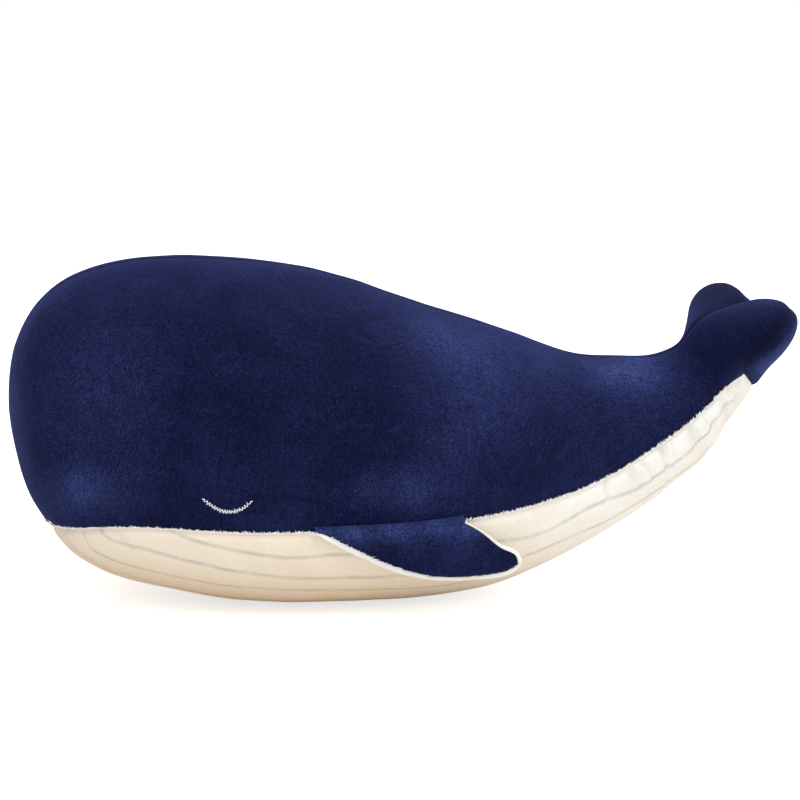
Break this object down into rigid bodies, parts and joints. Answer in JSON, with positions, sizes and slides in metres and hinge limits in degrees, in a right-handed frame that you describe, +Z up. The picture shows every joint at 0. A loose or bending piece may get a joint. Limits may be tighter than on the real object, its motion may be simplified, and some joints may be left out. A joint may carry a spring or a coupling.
{
  "type": "plush whale",
  "caption": "Stuffed whale lying on its belly: navy velvet back, pale belly, closed stitched eyes, side fins that lift at their seams and a tail fluke that bends up and down.",
  "frame": {"origin": "middle of the overall box, on the surface that the whale lies on", "axes": "+X from head to tail along the whale's length, +Y to the whale's right side, +Z up"},
  "size_m": [0.4964, 0.215, 0.2184],
  "materials": {
    "navy_velvet": "short-pile velvet",
    "cream_velvet": "short-pile velvet with faint grey-green lines along it",
    "polyester_fibre": "loose fibre",
    "lilac_thread": "satin stitch"
  },
  "bodies": {
    "body": {"back_panel_left": "navy_velvet", "back_panel_right": "navy_velvet", "belly_panel": "cream_velvet", "body_stuffing": "polyester_fibre", "tail_stuffing": "polyester_fibre", "eye_left": "lilac_thread", "eye_right": "lilac_thread"},
    "fluke": {"fluke_top_panel": "navy_velvet", "fluke_underside_panel": "navy_velvet", "fluke_stuffing": "polyester_fibre"},
    "fin_left": {"fin_left_top_panel": "navy_velvet", "fin_left_underside_panel": "cream_velvet", "fin_left_stuffing": "polyester_fibre"},
    "fin_right": {"fin_right_top_panel": "navy_velvet", "fin_right_underside_panel": "cream_velvet", "fin_right_stuffing": "polyester_fibre"}
  },
  "joints": [
    {"name": "tail_bend", "type": "hinge", "parent": "body", "child": "fluke", "pos_m": [0.20935, 0, 0.14819], "axis": [0, 1, 0], "range_deg": [-25, 25]},
    {"name": "fin_left_lift", "type": "hinge", "parent": "body", "child": "fin_left", "pos_m": [-0.06457, -0.10611, 0.06573], "axis": [-0.9949, -0.0912, -0.0435], "range_deg": [0, 110]},
    {"name": "fin_right_lift", "type": "hinge", "parent": "body", "child": "fin_right", "pos_m": [-0.06457, 0.10611, 0.06573], "axis": [0.9949, -0.0912, 0.0435], "range_deg": [0, 110]}
  ]
}
